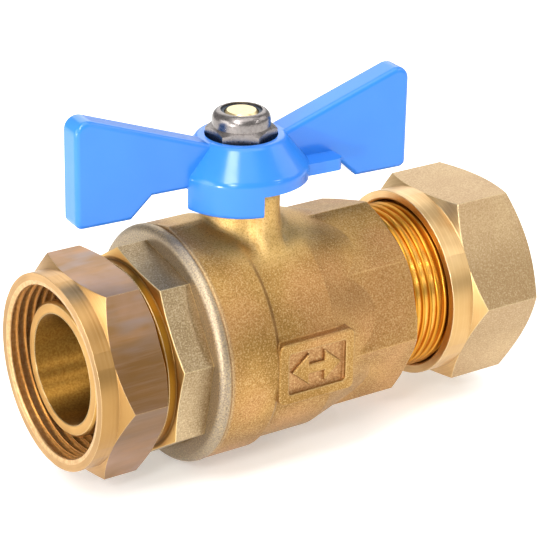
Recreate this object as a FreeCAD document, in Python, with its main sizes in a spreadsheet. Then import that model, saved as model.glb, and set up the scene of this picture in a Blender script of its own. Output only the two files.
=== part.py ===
# Isolating valve for 22 mm pipe: a quarter-turn ball valve with a union end and a compression end.
# Millimetres. The origin is the ball's centre, +X runs along the pipe towards the compression nut,
# +Z runs up the stem, and the badge pad faces -Y. The model is at rest with the valve open.
import FreeCAD, Part
import math
import os
import re
import Sketcher

doc = FreeCAD.newDocument("isolating_valve")
sheet = doc.addObject("Spreadsheet::Sheet", "Sizes")

# Driving dimensions. Lengths on the union side are distances to the left of the ball's centre.
# Turns on the pipe axis are measured up from the front horizon, turns on the stem from +X.
sizes = {
    # Fits
    "running_gap": 0.05,
    "ball_gap": 0.1,
    "seat_gap": 0.05,
    "seal_gap": 0.03,
    "loose_gap": 0.3,
    "thread_gap": 0.15,
    "cut_margin": 0.3,
    # Waterway and pipe
    "bore_radius": 9.05,
    "pipe_radius": 11.0,
    "pipe_gap": 0.1,
    "pipe_stop": 19.0,
    # Valve body
    "body_end": 15.6,
    "bead_width": 1.75,
    "bead_radius": 19.7,
    "bead_round": 1.4,
    "scribe_depth": 0.3,
    "scribe_width": 0.4,
    "barrel_radius": 19.6,
    "barrel_end": 5.2,
    "step_length": 1.0,
    "bulge_radius": 18.8,
    "bulge_end": 6.5,
    "taper_end": 16.5,
    "octagon_flats": 32.0,
    "octagon_turn": -6.0,
    "octagon_start": 8.0,
    "octagon_end": 24.5,
    "octagon_face_radius": 16.3,
    "octagon_bevel": 30.0,
    "parting_angle": 13.0,
    "male_thread_end": 40.0,
    "male_thread_root": 13.55,
    "thread_height": 0.75,
    "thread_lead_in": 0.7,
    "cone_depth": 1.4,
    "cone_radius": 12.6,
    # Boss and the ear that stops the handle
    "boss_radius": 6.4,
    "boss_top": 27.5,
    "flare_radius": 8.0,
    "flare_top": 21.2,
    "flare_foot": 15.0,
    "ear_radius": 8.2,
    "ear_turn": -86.5,
    "ear_span": 31.0,
    "ear_top": 26.0,
    "ear_root_round": 1.1,
    "ear_tip_round": 0.6,
    # Badge pad
    "badge_left": 5.0,
    "badge_right": 9.4,
    "badge_above": 4.9,
    "badge_below": 5.7,
    "badge_face": 19.8,
    "badge_root": 12.0,
    "badge_corner": 1.2,
    "badge_border": 1.7,
    "badge_depth": 0.7,
    "badge_edge": 0.3,
    # Ball, seats and seals
    "ball_radius": 14.3,
    "slot_width": 4.6,
    "slot_floor": 10.4,
    "cavity_radius": 15.0,
    "cavity_right": 8.6,
    "seat_inner_radius": 9.3,
    "seat_outer_radius": 12.6,
    "seat_front": 8.2,
    "seat_back": 12.6,
    "seal_room": 2.0,
    # End connector
    "connector_flats": 32.2,
    "connector_turn": -11.5,
    "connector_octagon": 5.8,
    "connector_face_radius": 15.8,
    "connector_bevel": 15.0,
    "shoulder_radius": 15.4,
    "shoulder_width": 1.8,
    "shoulder_chamfer": 0.5,
    "spigot_radius": 11.0,
    "spigot_end": 33.1,
    "spigot_chamfer": 0.4,
    "connector_thread_radius": 16.1,
    "connector_thread_end": 12.2,
    "nose_radius": 14.4,
    "nose_end": 8.4,
    # Union nut and its snap ring
    "union_face": 35.1,
    "union_length": 11.5,
    "union_collar_radius": 16.05,
    "union_collar": 3.1,
    "union_flats": 32.0,
    "union_turn": -2.0,
    "nut_bevel": 30.0,
    "union_end_radius": 16.4,
    "union_thread_radius": 14.75,
    "union_lip": 3.0,
    "ring_groove_depth": 0.7,
    "ring_outer_radius": 12.6,
    "ring_width": 1.1,
    "ring_open_angle": 25.0,
    # Compression nut and olive
    "gland_face": 32.3,
    "gland_length": 17.5,
    "gland_collar_radius": 16.05,
    "gland_collar": 4.1,
    "gland_flats": 32.0,
    "gland_turn": 1.5,
    "gland_end_radius": 15.6,
    "gland_thread_length": 9.2,
    "gland_hole_radius": 11.4,
    "gland_mouth_chamfer": 0.3,
    "olive_radius": 12.8,
    # Stem
    "stem_radius": 4.5,
    "flange_radius": 5.6,
    "flange_floor": 14.9,
    "flange_height": 1.3,
    "washer_height": 0.8,
    "tongue_width": 10.0,
    "seal_groove_depth": 1.2,
    "seal_groove_width": 1.5,
    "lower_seal": 19.6,
    "upper_seal": 23.4,
    "stem_shoulder": 28.2,
    "square_radius": 4.0,
    "square_half": 2.9,
    "screw_root": 2.75,
    "screw_top": 37.3,
    "screw_chamfer": 0.4,
    # Butterfly handle
    "wing_turn": -3.4,
    "wing_reach": 30.2,
    "wing_thick": 4.9,
    "wing_drop": 23.1,
    "wing_drop_start": 20.7,
    "wing_root": 17.0,
    "wing_top": 41.5,
    "wing_waist": 7.0,
    "wing_top_corner": 2.2,
    "wing_low_corner": 1.2,
    "wing_edge": 0.85,
    "hub_radius": 11.0,
    "hub_floor": 26.5,
    "hub_rim": 2.0,
    "hub_round": 1.6,
    "hub_top": 33.4,
    "lip_width": 1.1,
    "lip_round": 1.2,
    "web_height": 3.0,
    "recess_radius": 5.9,
    "skirt_depth": 3.7,
    "skirt_inner_radius": 7.2,
    "skirt_corner": 0.8,
    "leg_span": 69.0,
    "stop_gap": 1.0,
    "handle_swing": 90.0,
    "ledge_reach": 15.6,
    "ledge_depth": 6.2,
    "ledge_height": 2.0,
    "ledge_corner": 1.2,
    # Lock nut
    "lock_flats": 10.0,
    "lock_turn": -4.0,
    "lock_hex_height": 3.7,
    "lock_height": 6.2,
    "lock_collar_radius": 4.7,
    "lock_collar_round": 1.4,
    "lock_foot_radius": 4.9,
    "lock_bevel": 30.0,
    "lock_bore": 3.0,
    "insert_floor": 4.0,
    "insert_radius": 4.1,
    "lip_radius": 3.35,
    "lip_height": 0.35,
}

# Counts and the tolerance that tells one edge from another.
flare_steps = 3
tiny = 1e-6

# Sizes that follow from the ones above.
derived = {
    "socket_radius": "pipe_radius + pipe_gap",
    "counterbore_radius": "connector_thread_radius + running_gap",
    "cavity_left": "connector_thread_end - seal_room",
    "pocket_radius": "seat_outer_radius + seat_gap",
    "male_thread_radius": "male_thread_root + thread_height",
    "gland_thread_radius": "male_thread_radius + thread_gap",
    "octagon_corner": "octagon_flats / 2 / cos(22.5)",
    "connector_corner": "connector_flats / 2 / cos(22.5)",
    "shoulder_end": "body_end + connector_octagon",
    "washer_floor": "flange_floor + flange_height",
    "washer_top": "washer_floor + washer_height",
    "stem_hole_radius": "stem_radius + running_gap",
    "flange_room_radius": "flange_radius + running_gap",
    "union_right": "union_face - union_length",
    "lip_inner_face": "union_right + union_lip",
    "ring_right": "lip_inner_face + loose_gap",
    "ring_left": "ring_right + ring_width",
    "gland_right": "gland_face + gland_length",
    "gland_thread_end": "gland_face + gland_thread_length",
    "gland_cone_end": "gland_thread_end + gland_thread_radius - gland_hole_radius",
    "web_top": "stem_shoulder + web_height",
    "lip_outer_radius": "recess_radius + lip_width",
    "hub_shoulder": "hub_floor + hub_rim",
    "hub_slope": "atan((hub_radius - lip_outer_radius) / (hub_top - hub_shoulder)) / (1 deg)",
    "lock_top": "web_top + lock_height",
    "skirt_floor": "hub_floor - skirt_depth",
    "ear_low_side": "ear_turn - ear_span / 2",
    "ear_high_side": "ear_turn + ear_span / 2",
    "open_leg_turn": "ear_low_side - stop_gap - leg_span / 2",
    "closed_leg_turn": "ear_high_side + stop_gap + handle_swing + leg_span / 2",
}


def expand(text):
    """Write a size formula with every name as a cell of the sheet."""
    def cell(match):
        word = match.group(0)
        if word in derived:
            return "(" + expand(derived[word]) + ")"
        return "Sizes." + word if word in sizes else word
    return re.sub(r"[a-z_]{2,}", cell, text)


def value(text):
    """The number that a size formula gives now."""
    return float(sheet.evalExpression(expand(text)))


def fill_sheet():
    for row, (name, number) in enumerate(sizes.items(), start=1):
        sheet.set("A%d" % row, name)
        sheet.set("B%d" % row, str(number))
        sheet.setAlias("B%d" % row, name)
    doc.recompute()


def new_body(label):
    body = doc.addObject("PartDesign::Body", label)
    body.Label = label
    return body


def origin_plane(body, role):
    return [item for item in body.Origin.OriginFeatures if item.Role == role][0]


def new_sketch(body, role, name, lift=None, turn=None):
    """A sketch on an origin plane, lifted off it or turned about the stem axis."""
    sketch = body.newObject("Sketcher::SketchObject", name)
    sketch.AttachmentSupport = [(origin_plane(body, role), "")]
    sketch.MapMode = "FlatFace"
    if turn:
        stem_axis = FreeCAD.Vector(0, 0, 1) if role == "XY_Plane" else FreeCAD.Vector(0, 1, 0)
        sketch.AttachmentOffset = FreeCAD.Placement(FreeCAD.Vector(), FreeCAD.Rotation(stem_axis, 1))
        sketch.setExpression("AttachmentOffset.Rotation.Angle", expand(turn))
    if lift:
        sketch.setExpression("AttachmentOffset.Base.z", expand(lift))
    return sketch


def pin_point(sketch, geometry, end, point):
    """Hold one point of the sketch at the formulas of its two coordinates."""
    for kind, axis, formula in (("DistanceX", -2, point[0]), ("DistanceY", -1, point[1])):
        if formula == "0":
            sketch.addConstraint(Sketcher.Constraint("PointOnObject", geometry, end, axis))
            continue
        index = sketch.addConstraint(Sketcher.Constraint(kind, geometry, end, value(formula)))
        sketch.setExpression("Constraints[%d]" % index, expand(formula))


def arc_between(start, end, radius, bend):
    """The arc from start to end, with its centre to the left (bend 1) or right (bend -1)."""
    chord = end - start
    side = FreeCAD.Vector(-chord.y, chord.x, 0).normalize() * bend
    centre = (start + end) * 0.5 + side * math.sqrt(max(radius ** 2 - chord.Length ** 2 / 4, 0))
    first, last = (start, end) if bend > 0 else (end, start)
    angles = [math.atan2(point.y - centre.y, point.x - centre.x) for point in (first, last)]
    circle = Part.Circle(centre, FreeCAD.Vector(0, 0, 1), radius)
    return Part.ArcOfCircle(circle, angles[0], angles[1])


def add_outline(sketch, steps):
    """A closed outline. A step is (x, y), or (x, y, radius, bend) where an arc leads to it."""
    spots = [FreeCAD.Vector(value(step[0]), value(step[1]), 0) for step in steps]
    ends = []
    for index, step in enumerate(steps):
        start, end = spots[index - 1], spots[index]
        if len(step) == 2:
            line = sketch.addGeometry(Part.LineSegment(start, end))
            ends.append((line, 1, 2))
            continue
        arc = sketch.addGeometry(arc_between(start, end, value(step[2]), step[3]))
        ends.append((arc, 1, 2) if step[3] > 0 else (arc, 2, 1))
    for index, (geometry, _, last) in enumerate(ends):
        following, joining, _ = ends[(index + 1) % len(ends)]
        sketch.addConstraint(Sketcher.Constraint("Coincident", geometry, last, following, joining))
        pin_point(sketch, geometry, last, steps[index])
        if len(steps[index]) == 4:
            radius = steps[index][2]
            bound = sketch.addConstraint(Sketcher.Constraint("Radius", geometry, value(radius)))
            sketch.setExpression("Constraints[%d]" % bound, expand(radius))


def outline_sketch(body, role, name, steps, lift=None, turn=None):
    sketch = new_sketch(body, role, name, lift, turn)
    add_outline(sketch, steps)
    return sketch


def finish_feature(body, feature, adds):
    """Recompute, and stop if a feature that adds or cuts left the volume as it was."""
    before = body.Shape.Volume if not body.Shape.isNull() else 0.0
    body.Tip = feature
    doc.recompute()
    change = body.Shape.Volume - before
    if (change <= 0) if adds else (change >= 0):
        raise RuntimeError("%s does nothing to %s" % (feature.Name, body.Label))
    return feature


def spin(body, name, steps, axis="X", cut=False, turn=None, span=None):
    """Turn a profile about the pipe axis (X) or the stem axis (Z), adding or cutting."""
    sketch = outline_sketch(body, "XZ_Plane", name + "_profile", steps, turn=turn)
    feature = body.newObject("PartDesign::Groove" if cut else "PartDesign::Revolution", name)
    feature.Profile = sketch
    feature.ReferenceAxis = (sketch, ["H_Axis" if axis == "X" else "V_Axis"])
    feature.Angle = 360.0
    if span:
        feature.Midplane = True
        feature.setExpression("Angle", expand(span))
    return finish_feature(body, feature, not cut)


def extrude(body, name, role, steps, length, lift=None, turn=None, cut=False, both_ways=False):
    """Push an outline straight off its plane, adding or cutting."""
    sketch = outline_sketch(body, role, name + "_outline", steps, lift=lift, turn=turn)
    feature = body.newObject("PartDesign::Pocket" if cut else "PartDesign::Pad", name)
    feature.Profile = sketch
    feature.setExpression("Length", expand(length))
    if both_ways:
        feature.SideType = "Symmetric"
    return finish_feature(body, feature, not cut)


def round_edges(body, name, radius, chosen):
    """Fillet the edges of the body's last feature that the test chooses."""
    base = body.Tip
    names = ["Edge%d" % number for number, edge in enumerate(base.Shape.Edges, start=1) if chosen(edge)]
    feature = body.newObject("PartDesign::Fillet", name)
    feature.Base = (base, names)
    feature.setExpression("Radius", expand(radius))
    body.Tip = feature
    doc.recompute()
    return feature


def polygon(sides, corner, turn):
    """Corners of a regular polygon across the pipe axis, in Y and Z."""
    angles = ["(%s) + %g" % (turn, 360.0 / sides * number) for number in range(sides)]
    return [("-(%s) * cos(%s)" % (corner, angle), "(%s) * sin(%s)" % (corner, angle)) for angle in angles]


def box_outline(left, right, low, high, corner):
    """A rectangle with rounded corners."""
    return [
        ("%s - %s" % (right, corner), low),
        (right, "%s + %s" % (low, corner), corner, 1),
        (right, "%s - %s" % (high, corner)),
        ("%s - %s" % (right, corner), high, corner, 1),
        ("%s + %s" % (left, corner), high),
        (left, "%s - %s" % (high, corner), corner, 1),
        (left, "%s + %s" % (low, corner)),
        ("%s + %s" % (left, corner), low, corner, 1),
    ]


def lobed_outline(drop):
    """The boss and its stop ear in plan, the ear on the local X axis, at a depth below the flare's top."""
    spread = "flare_radius - sqrt(flare_radius^2 - (%s)^2)" % drop
    boss, ear = "(boss_radius + %s)" % spread, "(ear_radius + %s)" % spread
    blend = "asin(ear_root_round / (%s + ear_root_round)) / (1 deg)" % boss
    foot = "sqrt(%s^2 + 2 * %s * ear_root_round)" % (boss, boss)
    tip = "sqrt(%s^2 - 2 * %s * ear_tip_round)" % (ear, ear)
    turn_in = "asin(ear_tip_round / (%s - ear_tip_round)) / (1 deg)" % ear
    ear_along = "%s * cos(ear_span / 2 - %s)" % (ear, turn_in)
    ear_across = "%s * sin(ear_span / 2 - %s)" % (ear, turn_in)
    along = "%s * cos(ear_span / 2)"
    across = "%s * sin(ear_span / 2)"
    boss_along = "%s * cos(ear_span / 2 + %s)" % (boss, blend)
    boss_across = "%s * sin(ear_span / 2 + %s)" % (boss, blend)
    return [
        (ear_along, ear_across, ear, 1),
        (along % tip, across % tip, "ear_tip_round", 1),
        (along % foot, across % foot),
        (boss_along, boss_across, "ear_root_round", -1),
        ("-" + boss, "0", boss, 1),
        (boss_along, "-" + boss_across, boss, 1),
        (along % foot, "-" + across % foot, "ear_root_round", -1),
        (along % tip, "-" + across % tip),
        (ear_along, "-" + ear_across, "ear_tip_round", 1),
    ]


def add_boss(body):
    """The stem boss and the ear that stops the handle, flared together into the body at their foot."""
    sections = []
    for number in range(flare_steps + 1):
        drop = "(flare_top - flare_foot) * %d / %d" % (flare_steps - number, flare_steps)
        sections.append(outline_sketch(body, "XY_Plane", "flare_section_%d" % number, lobed_outline(drop),
                                       lift="flare_top - " + drop, turn="ear_turn"))
    flare = body.newObject("PartDesign::AdditiveLoft", "flare")
    flare.Profile = sections[0]
    flare.Sections = sections[1:]
    finish_feature(body, flare, True)
    extrude(body, "stop_ear", "XY_Plane", lobed_outline("0"), "ear_top - flare_top", lift="flare_top",
            turn="ear_turn")
    spin(body, "boss", [
        ("0", "ear_top"),
        ("boss_radius", "ear_top"),
        ("boss_radius", "boss_top"),
        ("0", "boss_top"),
    ], axis="Z")


def make_valve_body():
    body = new_body("valve_body")
    flat = "octagon_flats / 2"
    spin(body, "barrel", [
        ("-body_end", "0"),
        ("-body_end", "bead_radius - bead_round"),
        ("bead_round - body_end", "bead_radius", "bead_round", -1),
        ("bead_width - scribe_width / 2 - body_end", "bead_radius"),
        ("bead_width - body_end", "barrel_radius - scribe_depth"),
        ("bead_width + scribe_width / 2 - body_end", "barrel_radius"),
        ("-barrel_end", "barrel_radius"),
        ("step_length - barrel_end", "bulge_radius"),
        ("bulge_end", "bulge_radius"),
        ("taper_end", flat),
        ("taper_end", "male_thread_root"),
        ("male_thread_end - thread_lead_in", "male_thread_root"),
        ("male_thread_end", "male_thread_root - thread_lead_in"),
        ("male_thread_end", "0"),
    ])
    extrude(body, "octagon", "YZ_Plane", polygon(8, "octagon_corner", "octagon_turn"),
            "octagon_end - octagon_start", lift="octagon_start")
    rise = "octagon_corner + cut_margin"
    spin(body, "octagon_bevel", [
        ("octagon_end", "octagon_face_radius"),
        ("octagon_end", rise),
        ("octagon_end - (%s - octagon_face_radius) * tan(octagon_bevel)" % rise, rise),
    ], cut=True)
    add_boss(body)
    add_parting_ridges(body)
    add_badge(body)
    spin(body, "waterway", [
        ("-body_end", "0"),
        ("-body_end", "counterbore_radius"),
        ("-cavity_left", "counterbore_radius"),
        ("-cavity_left", "cavity_radius"),
        ("cavity_right", "cavity_radius"),
        ("cavity_right", "pocket_radius"),
        ("seat_back", "pocket_radius"),
        ("seat_back", "bore_radius"),
        ("pipe_stop", "bore_radius"),
        ("pipe_stop", "socket_radius"),
        ("male_thread_end - cone_depth", "socket_radius"),
        ("male_thread_end", "cone_radius"),
        ("male_thread_end", "0"),
    ], cut=True)
    spin(body, "stem_hole", [
        ("0", "0"),
        ("flange_room_radius", "0"),
        ("flange_room_radius", "washer_top"),
        ("stem_hole_radius", "washer_top"),
        ("stem_hole_radius", "boss_top"),
        ("0", "boss_top"),
    ], axis="Z", cut=True)
    return body


def add_parting_ridges(body):
    """The low roof-shaped ridge that the forging dies leave along the top and the underside."""
    spans = [
        ("left", "barrel_radius", "-body_end + bead_width + scribe_width / 2", "-barrel_end"),
        ("right", "bulge_radius", "step_length - barrel_end", "bulge_end"),
    ]
    for side, radius, start, end in spans:
        for place, sign in (("top", ""), ("under", "-")):
            foot = "%s%s * cos(parting_angle)" % (sign, radius)
            half = "%s * sin(parting_angle)" % radius
            extrude(body, "ridge_%s_%s" % (side, place), "YZ_Plane", [
                ("-" + half, foot),
                (half, foot),
                ("0", "%s%s / cos(parting_angle)" % (sign, radius)),
            ], "%s - (%s)" % (end, start), lift=start)


def add_badge(body):
    """The raised pad on the front, with a sunk bare field inside its border."""
    extrude(body, "badge", "XZ_Plane",
            box_outline("-badge_left", "badge_right", "-badge_below", "badge_above", "badge_corner"),
            "badge_face - badge_root", lift="badge_root")
    face = -value("badge_face")
    round_edges(body, "badge_edges", "badge_edge", lambda edge: abs(edge.CenterOfMass.y - face) < tiny)
    extrude(body, "badge_field", "XZ_Plane",
            box_outline("badge_border - badge_left", "badge_right - badge_border",
                        "badge_border - badge_below", "badge_above - badge_border",
                        "badge_corner / 2"),
            "badge_depth", lift="badge_face", cut=True)


def make_end_connector():
    body = new_body("end_connector")
    spin(body, "turned_form", [
        ("-spigot_end", "0"),
        ("-spigot_end", "spigot_radius - spigot_chamfer"),
        ("spigot_chamfer - spigot_end", "spigot_radius"),
        ("-ring_left - running_gap", "spigot_radius"),
        ("-ring_left - running_gap", "spigot_radius - ring_groove_depth"),
        ("running_gap - ring_right", "spigot_radius - ring_groove_depth"),
        ("running_gap - ring_right", "spigot_radius"),
        ("-shoulder_end - shoulder_width", "spigot_radius"),
        ("-shoulder_end - shoulder_width", "shoulder_radius - shoulder_chamfer"),
        ("shoulder_chamfer - shoulder_end - shoulder_width", "shoulder_radius"),
        ("-shoulder_end", "shoulder_radius"),
        ("-body_end", "shoulder_radius"),
        ("-body_end", "connector_thread_radius"),
        ("-connector_thread_end", "connector_thread_radius"),
        ("-connector_thread_end", "nose_radius"),
        ("-nose_end", "nose_radius"),
        ("-nose_end", "0"),
    ])
    extrude(body, "octagon", "YZ_Plane", polygon(8, "connector_corner", "connector_turn + 22.5"),
            "connector_octagon", lift="-shoulder_end")
    rise = "connector_corner + cut_margin"
    spin(body, "octagon_bevel", [
        ("-shoulder_end", "connector_face_radius"),
        ("-shoulder_end", rise),
        ("(%s - connector_face_radius) * tan(connector_bevel) - shoulder_end" % rise, rise),
    ], cut=True)
    spin(body, "waterway", [
        ("-spigot_end", "0"),
        ("-spigot_end", "bore_radius"),
        ("-seat_back", "bore_radius"),
        ("-seat_back", "pocket_radius"),
        ("-nose_end", "pocket_radius"),
        ("-nose_end", "0"),
    ], cut=True)
    return body


def make_union_nut():
    body = new_body("union_nut")
    corner = "union_flats / 2 / cos(30)"
    rise = corner + " + cut_margin"
    extrude(body, "hexagon", "YZ_Plane", polygon(6, corner, "union_turn"),
            "union_length", lift="-union_face")
    spin(body, "collar", [
        ("-union_face", "union_collar_radius"),
        ("-union_face", rise),
        ("union_collar - union_face + (%s - union_collar_radius) * tan(nut_bevel)" % rise, rise),
        ("union_collar - union_face", "union_collar_radius"),
    ], cut=True)
    spin(body, "end_bevel", [
        ("-union_right", "union_end_radius"),
        ("-union_right", rise),
        ("-union_right - (%s - union_end_radius) * tan(nut_bevel)" % rise, rise),
    ], cut=True)
    spin(body, "thread_bore", [
        ("-union_face", "0"),
        ("-union_face", "union_thread_radius"),
        ("-lip_inner_face", "union_thread_radius"),
        ("-lip_inner_face", "spigot_radius + loose_gap"),
        ("-union_right", "spigot_radius + loose_gap"),
        ("-union_right", "0"),
    ], cut=True)
    return body


def make_nut_retaining_ring():
    body = new_body("nut_retaining_ring")
    inner = "spigot_radius - ring_groove_depth + running_gap"
    spin(body, "snap_ring", [
        ("-ring_left", inner),
        ("-ring_right", inner),
        ("-ring_right", "ring_outer_radius"),
        ("-ring_left", "ring_outer_radius"),
    ], span="360 - ring_open_angle")
    return body


def make_compression_nut():
    body = new_body("compression_nut")
    corner = "gland_flats / 2 / cos(30)"
    rise = corner + " + cut_margin"
    extrude(body, "hexagon", "YZ_Plane", polygon(6, corner, "gland_turn"),
            "gland_length", lift="gland_face")
    spin(body, "collar", [
        ("gland_face", "gland_collar_radius"),
        ("gland_face", rise),
        ("gland_face + gland_collar + (%s - gland_collar_radius) * tan(nut_bevel)" % rise, rise),
        ("gland_face + gland_collar", "gland_collar_radius"),
    ], cut=True)
    spin(body, "end_bevel", [
        ("gland_right", "gland_end_radius"),
        ("gland_right", rise),
        ("gland_right - (%s - gland_end_radius) * tan(nut_bevel)" % rise, rise),
    ], cut=True)
    spin(body, "thread_bore", [
        ("gland_face", "0"),
        ("gland_face", "gland_thread_radius + gland_mouth_chamfer"),
        ("gland_face + gland_mouth_chamfer", "gland_thread_radius"),
        ("gland_thread_end", "gland_thread_radius"),
        ("gland_cone_end", "gland_hole_radius"),
        ("gland_right", "gland_hole_radius"),
        ("gland_right", "0"),
    ], cut=True)
    return body


def make_compression_olive():
    """The soft ring between the body's mouth cone and the nut's cone, parallel to both."""
    body = new_body("compression_olive")
    mouth_slope = "cone_depth / (cone_radius - socket_radius)"
    left = "male_thread_end - cone_depth + thread_gap"
    right = "gland_cone_end - thread_gap + gland_hole_radius"
    spin(body, "double_cone", [
        (left, "socket_radius"),
        (right + " - socket_radius", "socket_radius"),
        (right + " - olive_radius", "olive_radius"),
        ("%s + (olive_radius - socket_radius) * %s" % (left, mouth_slope), "olive_radius"),
    ])
    return body


def make_ball():
    body = new_body("ball")
    half = "sqrt(ball_radius^2 - bore_radius^2)"
    spin(body, "bored_sphere", [
        (half, "bore_radius"),
        ("-" + half, "bore_radius", "ball_radius", 1),
    ])
    extrude(body, "stem_slot", "XZ_Plane", [
        ("-slot_width / 2", "slot_floor"),
        ("slot_width / 2", "slot_floor"),
        ("slot_width / 2", "ball_radius + cut_margin"),
        ("-slot_width / 2", "ball_radius + cut_margin"),
    ], "ball_radius * 2", cut=True, both_ways=True)
    return body


def make_seat(label, sign, bend):
    """A PTFE seat, dished to the ball. The sign is its side of the ball."""
    body = new_body(label)
    dish = "ball_radius + ball_gap"
    spin(body, "dished_ring", [
        (sign + "seat_back", "seat_inner_radius"),
        ("%ssqrt((%s)^2 - seat_inner_radius^2)" % (sign, dish), "seat_inner_radius"),
        (sign + "seat_front", "sqrt((%s)^2 - seat_front^2)" % dish, dish, bend),
        (sign + "seat_front", "seat_outer_radius"),
        (sign + "seat_back", "seat_outer_radius"),
    ])
    return body


def make_stem():
    body = new_body("stem")
    groove = "stem_radius - seal_groove_depth"
    profile = [
        ("0", "flange_floor"),
        ("flange_radius", "flange_floor"),
        ("flange_radius", "washer_floor"),
        ("stem_radius", "washer_floor"),
    ]
    for place in ("lower_seal", "upper_seal"):
        profile += [
            ("stem_radius", place + " - seal_groove_width / 2"),
            (groove, place + " - seal_groove_width / 2"),
            (groove, place + " + seal_groove_width / 2"),
            ("stem_radius", place + " + seal_groove_width / 2"),
        ]
    profile += [
        ("stem_radius", "stem_shoulder"),
        ("screw_root", "stem_shoulder"),
        ("screw_root", "screw_top - screw_chamfer"),
        ("screw_root - screw_chamfer", "screw_top"),
        ("0", "screw_top"),
    ]
    spin(body, "turned_form", profile, axis="Z")
    extrude(body, "double_d", "XY_Plane", double_d("0"), "web_height - running_gap", lift="stem_shoulder")
    extrude(body, "tongue", "XY_Plane", [
        ("-(slot_width / 2 - running_gap)", "-tongue_width / 2"),
        ("slot_width / 2 - running_gap", "-tongue_width / 2"),
        ("slot_width / 2 - running_gap", "tongue_width / 2"),
        ("-(slot_width / 2 - running_gap)", "tongue_width / 2"),
    ], "flange_floor - slot_floor - running_gap", lift="slot_floor + running_gap")
    return body


def double_d(gap):
    """A round with two flats, grown by a gap where it is the hole."""
    radius = "square_radius + " + gap
    half = "square_half + " + gap
    reach = "sqrt((%s)^2 - (%s)^2)" % (radius, half)
    return [
        (reach, "-(%s)" % half),
        (reach, half, radius, 1),
        ("-" + reach, half),
        ("-" + reach, "-(%s)" % half, radius, 1),
    ]


def make_stem_thrust_washer():
    body = new_body("stem_thrust_washer")
    spin(body, "flat_ring", [
        ("stem_hole_radius", "washer_floor + running_gap"),
        ("flange_radius", "washer_floor + running_gap"),
        ("flange_radius", "washer_top"),
        ("stem_hole_radius", "washer_top"),
    ], axis="Z")
    return body


def make_seal_ring(label, inner, outer, along, centre):
    """A round-section ring that nearly fills the room between an inner and an outer wall."""
    ring = doc.addObject("Part::Torus", label)
    ring.Label = label
    ring.setExpression("Radius1", expand("((%s) + (%s)) / 2" % (inner, outer)))
    ring.setExpression("Radius2", expand("((%s) - (%s)) / 2 - seal_gap" % (outer, inner)))
    if along == "x":
        ring.Placement = FreeCAD.Placement(
            FreeCAD.Vector(), FreeCAD.Rotation(FreeCAD.Vector(0, 1, 0), 90))
    ring.setExpression("Placement.Base." + along, expand(centre))
    doc.recompute()
    return ring


def make_butterfly_handle():
    body = new_body("butterfly_handle")
    extrude(body, "wings", "XZ_Plane", [
        ("-wing_root", "hub_floor"),
        ("wing_root", "hub_floor"),
        ("wing_drop_start", "wing_drop"),
        ("wing_reach", "wing_drop"),
        ("wing_reach", "wing_top"),
        ("wing_waist", "hub_top"),
        ("-wing_waist", "hub_top"),
        ("-wing_reach", "wing_top"),
        ("-wing_reach", "wing_drop"),
        ("-wing_drop_start", "wing_drop"),
    ], "wing_thick", turn="wing_turn", both_ways=True)
    straighten = FreeCAD.Rotation(FreeCAD.Vector(0, 0, 1), -value("wing_turn"))

    def outer_corner(edge, height):
        middle = straighten.multVec(edge.CenterOfMass)
        at_end = abs(abs(middle.x) - value("wing_reach")) < tiny
        return at_end and abs(middle.y) < tiny and abs(middle.z - value(height)) < tiny

    def outline_edge(edge):
        return abs(straighten.multVec(edge.CenterOfMass).y) > tiny

    round_edges(body, "top_corners", "wing_top_corner", lambda edge: outer_corner(edge, "wing_top"))
    round_edges(body, "low_corners", "wing_low_corner", lambda edge: outer_corner(edge, "wing_drop"))
    round_edges(body, "wing_edges", "wing_edge", outline_edge)
    spin(body, "hub", hub_profile(), axis="Z")
    for name, sign in (("front_ledge", ""), ("back_ledge", "-")):
        extrude(body, name, "XY_Plane", ledge_outline(sign), "ledge_height", lift="hub_floor",
                turn="wing_turn")
    for leg in ("open_leg", "closed_leg"):
        spin(body, leg, [
            ("skirt_inner_radius", "skirt_floor"),
            ("hub_radius - skirt_corner", "skirt_floor"),
            ("hub_radius", "skirt_floor + skirt_corner", "skirt_corner", 1),
            ("hub_radius", "hub_floor"),
            ("skirt_inner_radius", "hub_floor"),
        ], axis="Z", turn=leg + "_turn", span="leg_span")
    spin(body, "boss_room", [
        ("0", "skirt_floor"),
        ("skirt_inner_radius", "skirt_floor"),
        ("skirt_inner_radius", "stem_shoulder"),
        ("0", "stem_shoulder"),
    ], axis="Z", cut=True)
    spin(body, "nut_recess", [
        ("0", "web_top"),
        ("recess_radius", "web_top"),
        ("recess_radius", "hub_top"),
        ("0", "hub_top"),
    ], axis="Z", cut=True)
    extrude(body, "stem_hole", "XY_Plane", double_d("running_gap"), "web_height",
            lift="web_top", cut=True)
    return body


def hub_profile():
    """The hub: an upright rim, a rounded shoulder and a cone up to a rounded lip."""
    rim_run = "hub_round * tan(hub_slope / 2)"
    lip_run = "lip_round * tan(45 - hub_slope / 2)"
    return [
        ("0", "hub_floor"),
        ("hub_radius", "hub_floor"),
        ("hub_radius", "hub_shoulder - " + rim_run),
        ("hub_radius - %s * sin(hub_slope)" % rim_run, "hub_shoulder + %s * cos(hub_slope)" % rim_run,
         "hub_round", 1),
        ("lip_outer_radius + %s * sin(hub_slope)" % lip_run, "hub_top - %s * cos(hub_slope)" % lip_run),
        ("lip_outer_radius - " + lip_run, "hub_top", "lip_round", 1),
        ("0", "hub_top"),
    ]


def ledge_outline(sign):
    """The foot at a wing's root: in front on the right wing, behind on the left one."""
    bare = "" if sign else "-"
    return [
        ("0", "0"),
        ("0", bare + "ledge_depth"),
        (sign + "(ledge_reach - ledge_corner)", bare + "ledge_depth"),
        (sign + "ledge_reach", bare + "(ledge_depth - ledge_corner)", "ledge_corner", 1),
        (sign + "ledge_reach", "0"),
    ]


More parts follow.
